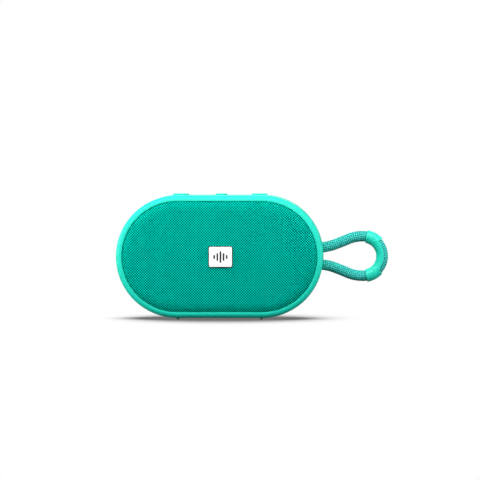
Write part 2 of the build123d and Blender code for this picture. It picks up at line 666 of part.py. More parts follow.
def passive_surround():
    low = 18.4
    roll = track(PASSIVE_W - 0.1, PASSIVE_H - 0.1, low, 20.3)
    roll -= track(PASSIVE_W - 2 * PASSIVE_ROLL, PASSIVE_H - 2 * PASSIVE_ROLL, low - 1, 21)
    roll = soften(roll, 20.3, 1.7)
    core = track(PASSIVE_W - 1.1, PASSIVE_H - 1.1, low - 1, 19.8)
    core -= track(PASSIVE_W - 2 * PASSIVE_ROLL + 1, PASSIVE_H - 2 * PASSIVE_ROLL + 1, low - 2, 21)
    roll -= soften(core, 19.8, 1.2)
    lip = track(PASSIVE_W + 6, PASSIVE_H + 6, low, COVER_IN_Y)
    return roll + (lip - track(PASSIVE_W - 1.1, PASSIVE_H - 1.1, low - 1, 21))


def passive_plate():
    plate = track(PASSIVE_W - 2 * PASSIVE_ROLL - 0.1, PASSIVE_H - 2 * PASSIVE_ROLL - 0.1, 18.0, 19.4)
    return soften(plate, 19.4, 0.4)


def passive_weight():
    return track(30, 9, 15.6, 18.0)


# ---- write the parts ----
def write(name, shape):
    solids = shape if isinstance(shape, list) else [shape]
    group = solids[0] if len(solids) == 1 else Compound(children=[s.solid() for s in solids])
    export_step(group, f"parts/{name}.step")


def main():
    os.makedirs("parts", exist_ok=True)
    singles = [housing, rear_cover, main_gasket, case_screws, front_baffle, baffle_screws,
               grille_plate, fabric_cover, badge_backing, badge_plate,
               key_gasket, key_domes, key_board, key_bracket, bracket_screws,
               lanyard_cord, lanyard_cord_ends, lanyard_grip, cord_ferrules, lanyard_anchor, anchor_screws,
               port_flap, flap_anchor, usb_socket, status_light,
               main_board, board_shield, board_chips, board_connectors, board_screws,
               battery_cell, battery_tray, battery_board, battery_strips,
               battery_lead, driver_leads, key_lead, driver_screws,
               passive_frame, passive_surround, passive_plate, passive_weight]
    for make in singles:
        write(make.__name__, make())
    write("badge_bars", badge_bar_solids())
    write("left_foot", foot(-FOOT_X))
    write("right_foot", foot(FOOT_X))
    for name in KEYS:
        write(name, key(name))
    pair = (-DRIVER_X, DRIVER_X)
    for name, make in (("driver_baskets", driver_basket), ("driver_magnets", driver_magnet),
                       ("driver_top_plates", driver_top_plate), ("driver_yokes", driver_yoke)):
        write(name, [make(x) for x in pair])
    for side, x in zip(("left", "right"), pair):
        write(f"{side}_cone", driver_cone(x))
        write(f"{side}_coil", driver_coil(x))
        write(f"{side}_surround", driver_surround(x))
        write(f"{side}_spider", driver_spider(x))


main()
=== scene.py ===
import bpy
import bmesh
import json
from math import atan2, ceil, cos, hypot, pi, radians, sin
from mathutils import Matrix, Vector


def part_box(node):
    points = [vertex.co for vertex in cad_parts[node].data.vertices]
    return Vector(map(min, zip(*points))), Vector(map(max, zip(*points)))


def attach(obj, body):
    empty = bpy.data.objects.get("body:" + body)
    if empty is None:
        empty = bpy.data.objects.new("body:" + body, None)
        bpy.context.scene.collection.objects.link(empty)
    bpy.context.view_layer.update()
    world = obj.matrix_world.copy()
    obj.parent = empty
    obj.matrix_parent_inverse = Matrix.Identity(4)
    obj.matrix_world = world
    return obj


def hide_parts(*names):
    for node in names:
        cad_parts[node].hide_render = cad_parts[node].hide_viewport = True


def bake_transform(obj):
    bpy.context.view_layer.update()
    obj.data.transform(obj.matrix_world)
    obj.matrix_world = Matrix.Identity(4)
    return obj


# A small racetrack-shaped loudspeaker with a woven cloth front, a rope carrying loop
# on its +X end and three keys on top. Metres, +Z up, the cloth faces -Y.

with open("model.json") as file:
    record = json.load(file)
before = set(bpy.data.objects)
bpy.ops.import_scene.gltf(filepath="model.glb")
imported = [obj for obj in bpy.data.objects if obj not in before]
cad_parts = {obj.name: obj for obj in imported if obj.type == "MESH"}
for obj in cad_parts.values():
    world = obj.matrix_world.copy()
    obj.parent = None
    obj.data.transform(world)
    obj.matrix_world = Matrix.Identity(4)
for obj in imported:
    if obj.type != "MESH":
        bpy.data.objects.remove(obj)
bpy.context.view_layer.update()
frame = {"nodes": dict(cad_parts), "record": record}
MM = 0.001

# ---- places taken from the frame ----
BAND_LOW, BAND_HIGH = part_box("housing")
CENTRE_Z = (BAND_LOW.z + BAND_HIGH.z) / 2
END_R = (BAND_HIGH.z - BAND_LOW.z) / 2          # round ends of the racetrack
STRAIGHT = BAND_HIGH.x - END_R                  # half length of its straight top and bottom
RIM_Y = BAND_LOW.y
SPLIT_Y = BAND_HIGH.y
COVER_LOW, COVER_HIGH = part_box("rear_cover")
REAR_Y = COVER_HIGH.y
CLOTH_LOW, CLOTH_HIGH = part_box("fabric_cover")
CLOTH_R = (CLOTH_HIGH.z - CLOTH_LOW.z) / 2
FLOOR_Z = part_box("left_foot")[0].z

WALL = 2.4 * MM
ROPE_APART = 5.0 * MM                           # the strands leave this far above and below the centre
ROUND_STEPS = 72                                # segments in each half round of the racetrack
ARC_STEPS = 10


# ---- small modelling helpers ----
def pick_none():
    bpy.ops.object.select_all(action="DESELECT")


def start(name):
    """The primitive that was just added becomes a named piece with its place in its mesh."""
    piece = bpy.context.object
    piece.name = name
    piece.data.name = name
    bpy.ops.object.transform_apply(location=True, rotation=True, scale=True)
    return piece


def focus(piece):
    pick_none()
    piece.select_set(True)
    bpy.context.view_layer.objects.active = piece


def edit(piece, kind="VERT"):
    focus(piece)
    bpy.ops.object.mode_set(mode="EDIT")
    bpy.ops.mesh.select_mode(type=kind)
    bpy.ops.mesh.select_all(action="DESELECT")


def leave():
    bpy.ops.object.mode_set(mode="OBJECT")


def pick(piece, kind, test):
    """In edit mode, selects the vertices, edges or faces whose middle passes the test."""
    mesh = bmesh.from_edit_mesh(piece.data)
    for element in getattr(mesh, kind):
        at = element.co if kind == "verts" else middle(element)
        if test(at, element):
            element.select_set(True)
    mesh.select_flush_mode()
    bmesh.update_edit_mesh(piece.data)


def middle(element):
    """Mean place of an edge's or a face's corners."""
    return sum((v.co for v in element.verts), Vector()) / len(element.verts)


def runs_along(edge, axis):
    """Whether an edge has any length along one axis."""
    return abs(getattr(edge.verts[0].co, axis) - getattr(edge.verts[1].co, axis)) > 1e-4


def apply(piece, kind, **values):
    """Adds one modifier and applies it."""
    modifier = piece.modifiers.new(kind.lower(), kind)
    for key, value in values.items():
        setattr(modifier, key, value)
    focus(piece)
    bpy.ops.object.modifier_apply(modifier=modifier.name)
    return piece


def carve(piece, tool, operation="DIFFERENCE"):
    """Cuts the tool out of a piece, or with UNION adds it, and removes the tool."""
    apply(piece, "BOOLEAN", operation=operation, object=tool, solver="EXACT")
    bpy.data.objects.remove(tool, do_unlink=True)
    return piece


def soften(piece, width, segments=3, angle=40):
    """Rounds every edge sharper than the angle."""
    return apply(piece, "BEVEL", width=width, segments=segments, limit_method="ANGLE",
                 angle_limit=radians(angle), harden_normals=False)


def smooth(piece, angle=32):
    focus(piece)
    bpy.ops.object.shade_smooth_by_angle(angle=radians(angle))
    return piece


def join(pieces, name):
    pick_none()
    for piece in pieces:
        piece.select_set(True)
    bpy.context.view_layer.objects.active = pieces[0]
    bpy.ops.object.join()
    pieces[0].name = name
    pieces[0].data.name = name
    return pieces[0]


def block(name, low, high):
    """Box from its lowest to its highest corner."""
    pick_none()
    size = [b - a for a, b in zip(low, high)]
    centre = [(a + b) / 2 for a, b in zip(low, high)]
    bpy.ops.mesh.primitive_cube_add(size=1, location=centre)
    bpy.context.object.scale = size
    return start(name)


def level_block(name, left, right, front, back, half_tall):
    """Box centred on the body's middle height."""
    return block(name, (left, front, CENTRE_Z - half_tall), (right, back, CENTRE_Z + half_tall))


def rod(name, radius, low, high, axis="Y", segments=48):
    """Round bar from point low to point high, along one axis."""
    pick_none()
    turn = {"X": (0, pi / 2, 0), "Y": (pi / 2, 0, 0), "Z": (0, 0, 0)}[axis]
    centre = [(a + b) / 2 for a, b in zip(low, high)]
    length = max(abs(b - a) for a, b in zip(low, high))
    bpy.ops.mesh.primitive_cylinder_add(vertices=segments, radius=radius, depth=length,
                                        location=centre, rotation=turn)
    return start(name)


def arc(centre, radius, start_deg, end_deg, steps=ARC_STEPS):
    """Points of an arc in a section's (radius, y) plane."""
    turns = [radians(start_deg + (end_deg - start_deg) * i / steps) for i in range(steps + 1)]
    return [(centre[0] + radius * cos(t), centre[1] + radius * sin(t)) for t in turns]


def carry_round(name, section, straight=STRAIGHT, centre_z=CENTRE_Z, closed=True, steps=ROUND_STEPS):
    """A section of (radius, y) points carried once round a racetrack."""
    pick_none()
    bpy.ops.mesh.primitive_circle_add(vertices=len(section), radius=1)
    piece = start(name)
    for vertex, (radius, y) in zip(piece.data.vertices, section):
        vertex.co = (straight, y, centre_z + radius)
    edit(piece, "EDGE")
    if not closed:
        ends = {0, len(section) - 1}
        pick(piece, "edges", lambda at, edge: {v.index for v in edge.verts} == ends)
        bpy.ops.mesh.delete(type="EDGE")
    bpy.ops.mesh.select_all(action="SELECT")
    for side in (1, -1):
        bpy.ops.mesh.spin(steps=steps, angle=pi, center=(side * straight, 0, centre_z), axis=(0, -1, 0))
        bpy.ops.mesh.extrude_region_move(
            TRANSFORM_OT_translate={"value": (-2 * side * straight, 0, 0)})
    bpy.ops.mesh.select_all(action="SELECT")
    bpy.ops.mesh.remove_doubles(threshold=1e-6)
    bpy.ops.mesh.normals_make_consistent(inside=False)
    leave()
    return piece


def track_block(name, radius, front, back, straight=STRAIGHT, centre_z=CENTRE_Z):
    """Solid racetrack between two depths."""
    return carry_round(name, [(0, front), (radius, front), (radius, back), (0, back)],
                       straight, centre_z, closed=False)


def place(piece, body, material, slot, *nodes):
    """Gives a finished piece its finish and its body, and hides the CAD nodes it stands for."""
    piece.data.materials.clear()
    piece.data.materials.append(material)
    if nodes:
        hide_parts(*nodes)
    if body:
        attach(piece, body)
    return piece


# ---- material helpers ----
def shade_group(name, inputs, outputs):
    """An empty node group with named sockets, and its input and output nodes."""
    tree = bpy.data.node_groups.new(name, "ShaderNodeTree")
    for socket, kind, value in inputs:
        made = tree.interface.new_socket(socket, in_out="INPUT", socket_type=kind)
        if value is not None:
            made.default_value = value
    for socket, kind in outputs:
        tree.interface.new_socket(socket, in_out="OUTPUT", socket_type=kind)
    return tree, tree.nodes.new("NodeGroupInput"), tree.nodes.new("NodeGroupOutput")


class Wiring:
    """Adds and links nodes in one tree."""

    def __init__(self, tree):
        self.tree = tree

    def node(self, kind, inputs=None, **values):
        made = self.tree.nodes.new(kind)
        for key, value in values.items():
            setattr(made, key, value)
        for key, value in (inputs or {}).items():
            self.feed(made.inputs[key], value)
        return made

    def feed(self, socket, value):
        if isinstance(value, bpy.types.NodeSocket):
            self.tree.links.new(value, socket)
        else:
            socket.default_value = value

    def maths(self, operation, *values):
        made = self.tree.nodes.new("ShaderNodeMath")
        made.operation = operation
        for socket, value in zip(made.inputs, values):
            self.feed(socket, value)
        return made.outputs[0]

    def mix(self, factor, first, second, blend="MIX"):
        made = self.tree.nodes.new("ShaderNodeMix")
        made.data_type = "RGBA"
        made.blend_type = blend
        self.feed(made.inputs[0], factor)
        self.feed(made.inputs[6], first)
        self.feed(made.inputs[7], second)
        return made.outputs[2]

    def split(self, vector):
        return self.node("ShaderNodeSeparateXYZ", {"Vector": vector}).outputs


def colour(red, green, blue):
    """Screen colour, 0 to 255, as linear RGBA."""
    def linear(c):
        c /= 255
        return c / 12.92 if c <= 0.04045 else ((c + 0.055) / 1.055) ** 2.4
    return (linear(red), linear(green), linear(blue), 1.0)


def new_material(name, **uniform):
    """A Principled material whose uniform values sit on the shader's own sockets."""
    material = bpy.data.materials.new(name)
    material.use_nodes = True
    wiring = Wiring(material.node_tree)
    shader = material.node_tree.nodes["Principled BSDF"]
    for key, value in uniform.items():
        shader.inputs[key.replace("_", " ")].default_value = value
    return material, wiring, shader


def moulded_grain():
    """Fine moulding texture: a height for bump and a slow patchiness for colour and gloss."""
    tree, source, out = shade_group(
        "moulded_grain", [("Vector", "NodeSocketVector", None), ("Size", "NodeSocketFloat", 0.0004)],
        [("Height", "NodeSocketFloat"), ("Patches", "NodeSocketFloat")])
    w = Wiring(tree)
    rate = w.maths("DIVIDE", 1.0, source.outputs["Size"])
    fine = w.node("ShaderNodeTexNoise", {"Vector": source.outputs["Vector"], "Scale": rate, "Detail": 3.0})
    wide = w.node("ShaderNodeTexNoise", {"Vector": source.outputs["Vector"], "Scale": 90.0, "Detail": 2.0})
    w.feed(out.inputs["Height"], fine.outputs["Fac"])
    w.feed(out.inputs["Patches"], wide.outputs["Fac"])
    return tree


def plain_weave():
    """Over-and-under cloth: which yarn is on top, the cloth's height and each yarn's own shade."""
    tree, source, out = shade_group(
        "plain_weave", [("Vector", "NodeSocketVector", None), ("Pitch", "NodeSocketFloat", 0.00078)],
        [("Over", "NodeSocketFloat"), ("Height", "NodeSocketFloat"), ("Shade", "NodeSocketFloat")])
    w = Wiring(tree)
    number_apart = 500.0                        # keeps the warp's yarn numbers off the weft's
    scaled = w.node("ShaderNodeVectorMath", {0: source.outputs["Vector"]}, operation="DIVIDE")
    pitch = w.node("ShaderNodeCombineXYZ", {"X": source.outputs["Pitch"], "Y": source.outputs["Pitch"],
                                            "Z": source.outputs["Pitch"]})
    w.feed(scaled.inputs[1], pitch.outputs[0])
    along, across = w.split(scaled.outputs[0])[:2]
    column = w.maths("FLOOR", along)
    row = w.maths("FLOOR", across)
    parity = w.maths("MODULO", w.maths("ABSOLUTE", w.maths("ADD", column, row)), 2.0)
    over = w.maths("GREATER_THAN", parity, 0.5)
    place_x = w.maths("SUBTRACT", along, column)
    place_y = w.maths("SUBTRACT", across, row)
    hump_x = w.maths("SINE", w.maths("MULTIPLY", place_x, pi))
    hump_y = w.maths("SINE", w.maths("MULTIPLY", place_y, pi))
    weft, warp = (
        w.maths("MULTIPLY", w.maths("POWER", over_yarn, 0.5), w.maths("MULTIPLY_ADD", along_yarn, 0.6, 0.4))
        for over_yarn, along_yarn in ((hump_y, hump_x), (hump_x, hump_y)))
    height = w.node("ShaderNodeMix", {0: over, 2: weft, 3: warp}, data_type="FLOAT")
    yarn = w.node("ShaderNodeMix", {0: over, 2: row,
                                    3: w.maths("ADD", column, number_apart)}, data_type="FLOAT")
    shade = w.node("ShaderNodeTexWhiteNoise", {"W": yarn.outputs[0]}, noise_dimensions="1D")
    w.feed(out.inputs["Over"], over)
    w.feed(out.inputs["Height"], height.outputs[0])
    w.feed(out.inputs["Shade"], shade.outputs["Value"])
    return tree


GRAIN = moulded_grain()
WEAVE = plain_weave()


def add_group(w, tree, inputs):
    made = w.tree.nodes.new("ShaderNodeGroup")
    made.node_tree = tree
    for key, value in inputs.items():
        w.feed(made.inputs[key], value)
    return made.outputs


def moulded(name, tint, roughness, grain=0.0004, bump=0.03, variation=0.05, **uniform):
    """Moulded plastic, rubber or painted metal: fine grain and a slight unevenness."""
    material, w, shader = new_material(name, **uniform)
    place_on = w.node("ShaderNodeTexCoord").outputs["Object"]
    texture = add_group(w, GRAIN, {"Vector": place_on, "Size": grain})
    dark = tuple(c * (1 - variation) for c in tint[:3]) + (1.0,)
    light = tuple(min(1.0, c * (1 + variation)) for c in tint[:3]) + (1.0,)
    w.feed(shader.inputs["Base Color"], w.mix(texture["Patches"], dark, light))
    spread = w.maths("MULTIPLY_ADD", texture["Height"], roughness * 0.3, roughness * 0.85)
    w.feed(shader.inputs["Roughness"], spread)
    bumps = w.node("ShaderNodeBump", {"Strength": bump, "Distance": 0.0002, "Height": texture["Height"]})
    w.feed(shader.inputs["Normal"], bumps.outputs["Normal"])
    return material


# ---- finishes ----
TURQUOISE = (0.008, 0.58, 0.435, 1.0)
GRIP_TURQUOISE = (0.012, 0.62, 0.46, 1.0)
WEAVE_PITCH = 0.000768
# Painted light and shade on a yarn of one colour: a lit copy where one yarn lies on top, a shaded copy where
# the other does.
YARN_OVER_PAINTED_LIT = (0.0, 0.70, 0.54, 1)
YARN_UNDER_PAINTED_SHADE = (0.0, 0.02, 0.016, 1)
YARN_DULL = (0.0, 0.10, 0.08, 1)
# Painted shade in the gaps between the yarns.
CLOTH_GAP_PAINTED_SHADE = (0.0, 0.04, 0.03, 1)
ROPE_TEAL_DARK = (0.012, 0.28, 0.25, 1)
ROPE_TEAL_LIGHT = (0.02, 0.40, 0.35, 1)
ROPE_PALE = (0.11, 0.70, 0.64, 1)
# Painted shade in the creases between the braid's cells.
ROPE_CREASE_PAINTED_SHADE = (0.002, 0.10, 0.085, 1)

shell_finish = moulded("turquoise_shell", TURQUOISE, 0.5, bump=0.04, variation=0.02, Specular_IOR_Level=0.2)
key_finish = moulded("turquoise_keys", TURQUOISE, 0.65, bump=0.05, variation=0.03, Specular_IOR_Level=0.08)
grip_finish = moulded("turquoise_grip", GRIP_TURQUOISE, 0.42, variation=0.03, Specular_IOR_Level=0.35)
soft_finish = moulded("dark_teal_rubber", colour(6, 120, 108), 0.62, bump=0.08)
badge_white = moulded("badge_white", colour(246, 246, 246), 0.25, variation=0.01, bump=0.01)
badge_dark = moulded("badge_black", colour(24, 24, 26), 0.3, variation=0.05, bump=0.01)
lens_finish = moulded("status_lens", colour(225, 232, 230), 0.2, variation=0.02)
screw_finish = moulded("screw_black_zinc", colour(60, 62, 64), 0.38, variation=0.12, Metallic=1.0)


def cloth_finish():
    """Plain-woven yarn of one colour with painted light and shade: painted bright where one yarn lies on top,
    painted dark where the other does, painted shade in the gaps, each yarn a little different.
    """
    material, w, shader = new_material("woven_cloth", Specular_IOR_Level=0.0, Roughness=0.9)
    flat = w.node("ShaderNodeUVMap", uv_map="cloth").outputs["UV"]
    weave = add_group(w, WEAVE, {"Vector": flat, "Pitch": WEAVE_PITCH})
    # Painted light and shade: a checker of lit and shaded copies of the one yarn colour.
    top = w.mix(weave["Over"], YARN_UNDER_PAINTED_SHADE, YARN_OVER_PAINTED_LIT)
    yarn = w.mix(w.maths("MULTIPLY", weave["Shade"], 0.08), top, YARN_DULL)
    # Painted shade where the yarns dip into the gaps between them.
    gap = w.maths("SUBTRACT", 1.0, weave["Height"])
    w.feed(shader.inputs["Base Color"], w.mix(w.maths("MULTIPLY", gap, 0.5), yarn, CLOTH_GAP_PAINTED_SHADE))
    bumps = w.node("ShaderNodeBump", {"Strength": 0.4, "Distance": 0.0002, "Height": weave["Height"]})
    w.feed(shader.inputs["Normal"], bumps.outputs["Normal"])
    return material


def rope_finish():
    """Braided rope: teal yarns with pale ones showing as dots, and painted shade darkening it between the
    strands.
    """
    material, w, shader = new_material("braided_rope", Specular_IOR_Level=0.0, Roughness=0.8)
    light = w.node("ShaderNodeAttribute", attribute_name="pale").outputs["Fac"]
    # Painted shade mask, strongest in the creases between the braid's cells.
    deep = w.node("ShaderNodeAttribute", attribute_name="deep").outputs["Fac"]
    place_on = w.node("ShaderNodeTexCoord").outputs["Object"]
    fibre = w.node("ShaderNodeTexNoise", {"Vector": place_on, "Scale": 4200.0, "Detail": 2.0})
    teal = w.mix(fibre.outputs["Fac"], ROPE_TEAL_DARK, ROPE_TEAL_LIGHT)
    dotted = w.mix(light, teal, ROPE_PALE)
    # Painted shade laid over the dotted teal in the creases.
    w.feed(shader.inputs["Base Color"], w.mix(w.maths("MULTIPLY", deep, 0.45), dotted, ROPE_CREASE_PAINTED_SHADE))
    bumps = w.node("ShaderNodeBump", {"Strength": 0.25, "Distance": 0.0001, "Height": fibre.outputs["Fac"]})
    w.feed(shader.inputs["Normal"], bumps.outputs["Normal"])
    return material


CLOTH_FINISH = cloth_finish()
ROPE_FINISH = rope_finish()


# ---- shell ----
RIM_ROUND = 3.0 * MM
RIM_EDGE = 0.12 * MM                            # the small flat where the rim turns in to the cloth
SPLIT_EDGE = 0.25 * MM
GRILLE_R = CLOTH_R + 0.1 * MM
LEDGE_R = 27.75 * MM
LEDGE_Y = -15.5 * MM                            # the grille plate rests on this ledge
BAFFLE_Y = -12.5 * MM
KEY_GAP = 0.2 * MM
KEY_FLANGE = 0.9 * MM
KEY_HOLE_Z = (66 * MM, 75 * MM)
ROPE_HOLE_R = 3.4 * MM
ROPE_HOLE_X = (54 * MM, 64 * MM)
FOOT_GAP = 0.05


def band():
    """The racetrack band with its rolled front rim, the ledge behind the cloth and the open back."""
    section = [(END_R - SPLIT_EDGE, SPLIT_Y), (END_R, SPLIT_Y - SPLIT_EDGE)]
    section += arc((END_R - RIM_ROUND, RIM_Y + RIM_ROUND), RIM_ROUND, 0, -90, 14)
    section += [(GRILLE_R + RIM_EDGE, RIM_Y), (GRILLE_R, RIM_Y + RIM_EDGE), (GRILLE_R, LEDGE_Y),
                (LEDGE_R, LEDGE_Y), (LEDGE_R, BAFFLE_Y), (END_R - WALL, BAFFLE_Y), (END_R - WALL, SPLIT_Y)]
    shell = carry_round("band", section)
    for node in ("minus_key", "play_key", "plus_key"):
        carve(shell, key_block(node, KEY_GAP, *KEY_HOLE_Z))
    for height in (-ROPE_APART, ROPE_APART):
        z = CENTRE_Z + height
        carve(shell, rod("hole", ROPE_HOLE_R, (ROPE_HOLE_X[0], 0, z), (ROPE_HOLE_X[1], 0, z), "X", 64))
    for node in ("left_foot", "right_foot"):
        low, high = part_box(node)
        gap = Vector((FOOT_GAP, FOOT_GAP, FOOT_GAP)) * MM
        carve(shell, block("groove", low - gap, high + gap))
    return place(smooth(shell), "root", shell_finish, "shell", "housing")


def key_block(node, grow, bottom, top):
    """The outline of one key as a solid: round for the middle one, a short racetrack for the others."""
    low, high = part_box(node)
    half_w = (high.x - low.x) / 2 - KEY_FLANGE + grow
    half_d = (high.y - low.y) / 2 - KEY_FLANGE + grow
    centre = (low.x + high.x) / 2
    if half_w - half_d < 0.1 * MM:
        return rod("key", half_d, (centre, 0, bottom), (centre, 0, top), "Z", 64)
    piece = block("key", (centre - half_w, -half_d, bottom), (centre + half_w, half_d, top))
    edit(piece, "EDGE")
    pick(piece, "edges", lambda at, edge: runs_along(edge, "z"))
    bpy.ops.mesh.bevel(offset=half_d - 0.2 * MM, segments=14, affect="EDGES")
    leave()
    return piece


COVER_ROLL = 4.0 * MM
COVER_SEAT = 15.9 * MM
COVER_EDGE = 0.2 * MM
COVER_WALL = 2.2 * MM
BEHIND = 24 * MM                                # safely past the cover's back face
SCREW_SEAT = 18.0 * MM
SCREW_HEAD_R = 2.1 * MM
RECESS_Y = 19.5 * MM                            # floor of the recess that the port cover lies in
LIGHT_HOLE_R = 1.05 * MM
PASSIVE_R = 15.5 * MM
PASSIVE_STRAIGHT = 11 * MM


def back_shell():
    """The rear cover, rounded over, with its port well, radiator opening and screw wells."""
    inside = REAR_Y - COVER_WALL
    section = [(0, REAR_Y)] + arc((END_R - COVER_ROLL, REAR_Y - COVER_ROLL), COVER_ROLL, 90, 0, 14)
    section += [(END_R, COVER_SEAT + COVER_EDGE), (END_R - COVER_EDGE, COVER_SEAT),
                (END_R - WALL, COVER_SEAT), (END_R - WALL, inside), (0, inside)]
    shell = carry_round("back_shell", section, closed=False)
    carve(shell, level_block("port_box", -50.2 * MM, -37.8 * MM, COVER_LOW.y, inside + MM, 9.2 * MM), "UNION")
    for x, z in screw_places():
        carve(shell, rod("well", 2.6 * MM, (x, SCREW_SEAT, z), (x, BEHIND, z)))
        carve(shell, rod("hole", 1.2 * MM, (x, 15 * MM, z), (x, 20 * MM, z)))
    carve(shell, track_block("opening", PASSIVE_R, 15 * MM, BEHIND, PASSIVE_STRAIGHT))
    for name, left, right, front, back, half_tall in (
            ("port_well", -49 * MM, -39 * MM, 14.8 * MM, BEHIND, 8 * MM),
            ("socket_slot", -45.8 * MM, -42.2 * MM, 13 * MM, 15.5 * MM, 4.65 * MM),
            ("lid_recess", -50.0 * MM, -37.6 * MM, RECESS_Y, BEHIND, 9.6 * MM),
            ("strap_recess", -55.2 * MM, -49.9 * MM, RECESS_Y, BEHIND, 5.4 * MM)):
        carve(shell, level_block(name, left, right, front, back, half_tall))
    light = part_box("status_light")
    x, z = (light[0].x + light[1].x) / 2, (light[0].z + light[1].z) / 2
    carve(shell, rod("hole", LIGHT_HOLE_R, (x, 17 * MM, z), (x, BEHIND, z)))
    return place(smooth(shell), "root", shell_finish, "shell", "rear_cover")


def screw_places():
    """(x, z) of the four cover screws."""
    low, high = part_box("case_screws")
    return [(x, z) for x in (low.x + SCREW_HEAD_R, high.x - SCREW_HEAD_R)
            for z in (low.z + SCREW_HEAD_R, high.z - SCREW_HEAD_R)]


def cover_screws():
    """Four countersunk cross-head screws."""
    heads = []
    top = SCREW_SEAT + 1.5 * MM
    for x, z in screw_places():
        screw = rod("screw", SCREW_HEAD_R, (x, SCREW_SEAT, z), (x, SCREW_SEAT + 1.4 * MM, z), segments=40)
        soften(screw, 0.35 * MM, 3)
        shank = rod("shank", 0.98 * MM, (x, 8.0 * MM, z), (x, SCREW_SEAT + 0.1 * MM, z), segments=24)
        carve(screw, shank, "UNION")
        for wide, tall in ((1.1, 0.22), (0.22, 1.1)):
            carve(screw, block("cross", (x - wide * MM, top - 0.7 * MM, z - tall * MM),
                               (x + wide * MM, top, z + tall * MM)))
        heads.append(smooth(screw))
    return place(join(heads, "cover_screws"), "root", screw_finish, "steel", "case_screws")


# ---- cloth front ----
CLOTH_T = 0.35 * MM
CLOTH_CROWN = 0.15 * MM                         # how far the middle stands proud of the shoulder
SHOULDER = 5.5 * MM                             # width of the edge that falls away to the rim
SHOULDER_DROP = 1.6 * MM


def cloth_section():
    """(radius, y) of the cloth's face, from the middle line to where it turns in behind the rim."""
    front = CLOTH_LOW.y
    inner = CLOTH_R - SHOULDER
    points = []
    for i in range(13):
        share = i / 12
        points.append((inner * share, front + CLOTH_CROWN * share ** 2))
    for i in range(1, 17):
        share = i / 16
        points.append((inner + SHOULDER * share, front + CLOTH_CROWN + SHOULDER_DROP * share ** 2.2))
    return points + [(CLOTH_R, CLOTH_HIGH.y)]


def cloth_front():
    """One sheet stretched over the grille. Its map is the flat cloth, so the weave runs over the edge."""
    section = cloth_section()
    cloth = carry_round("cloth_front", section, closed=False)
    edit(cloth, "FACE")
    bpy.ops.mesh.select_all(action="SELECT")
    bpy.ops.mesh.normals_make_consistent(inside=False)
    leave()
    if sum((p.normal.y for p in cloth.data.polygons)) > 0:
        cloth.data.flip_normals()
    lengths = [0.0]
    for (r0, y0), (r1, y1) in zip(section, section[1:]):
        lengths.append(lengths[-1] + hypot(r1 - r0, y1 - y0))
    uv = cloth.data.uv_layers.new(name="cloth")
    for loop in cloth.data.loops:
        co = cloth.data.vertices[loop.vertex_index].co
        line_x = min(STRAIGHT, max(-STRAIGHT, co.x))
        out = Vector((co.x - line_x, co.z - CENTRE_Z))
        run = min(range(len(section)),
                  key=lambda i: hypot(section[i][0] - out.length, section[i][1] - co.y))
        stretched = out.normalized() * lengths[run] if out.length > 1e-6 else out
        uv.data[loop.index].uv = (line_x + stretched.x, stretched.y)
    smooth(cloth, 60)
    apply(cloth, "SOLIDIFY", thickness=CLOTH_T, offset=-1.0)
    place(cloth, "root", CLOTH_FINISH, "cloth", "fabric_cover")
    return cloth


# ---- badge ----
BAR_HEIGHTS = (2.4, 4.6, 6.8, 4.6, 2.4)         # millimetres
BAR_STEP = 1.8
BAR_HALF_WIDE = 0.5 * MM


def badge():
    """White plaque on a dark backing, with five bars of a generic sound mark."""
    low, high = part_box("badge_backing")
    base_y = CLOTH_LOW.y
    backing = plaque("badge_backing_rim", low, high, base_y - 0.5 * MM, base_y + 0.05 * MM, 1.2 * MM)
    place(backing, "root", badge_dark, "badge_dark", "badge_backing")
    low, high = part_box("badge_plate")
    face = plaque("badge_face", low, high, low.y, base_y - 0.4 * MM, 0.8 * MM)
    place(face, "root", badge_white, "badge_white", "badge_plate")
    bars = []
    low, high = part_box("badge_bars")
    centre_x, centre_z = (low.x + high.x) / 2, (low.z + high.z) / 2
    for step, height in zip(range(-2, 3), BAR_HEIGHTS):
        x = centre_x + step * BAR_STEP * MM
        half = height / 2 * MM
        bar = block("bar", (x - BAR_HALF_WIDE, low.y, centre_z - half),
                    (x + BAR_HALF_WIDE, low.y + 0.35 * MM, centre_z + half))
        edit(bar, "EDGE")
        pick(bar, "edges", lambda at, edge: runs_along(edge, "y"))
        bpy.ops.mesh.bevel(offset=0.48 * MM, segments=8, affect="EDGES")
        leave()
        bars.append(smooth(soften(bar, 0.06 * MM, 2, 60)))
    place(join(bars, "badge_sound_bars"), "root", badge_dark, "badge_dark", "badge_bars")


def plaque(name, low, high, front, back, corner):
    """Thin rounded rectangle with softened front edges."""
    piece = block(name, (low.x, front, low.z), (high.x, back, high.z))
    edit(piece, "EDGE")
    pick(piece, "edges", lambda at, edge: runs_along(edge, "y"))
    bpy.ops.mesh.bevel(offset=corner, segments=8, affect="EDGES")
    leave()
    return smooth(soften(piece, 0.14 * MM, 3, 60))


# ---- keys and feet ----
MARK_DEEP = 0.25 * MM


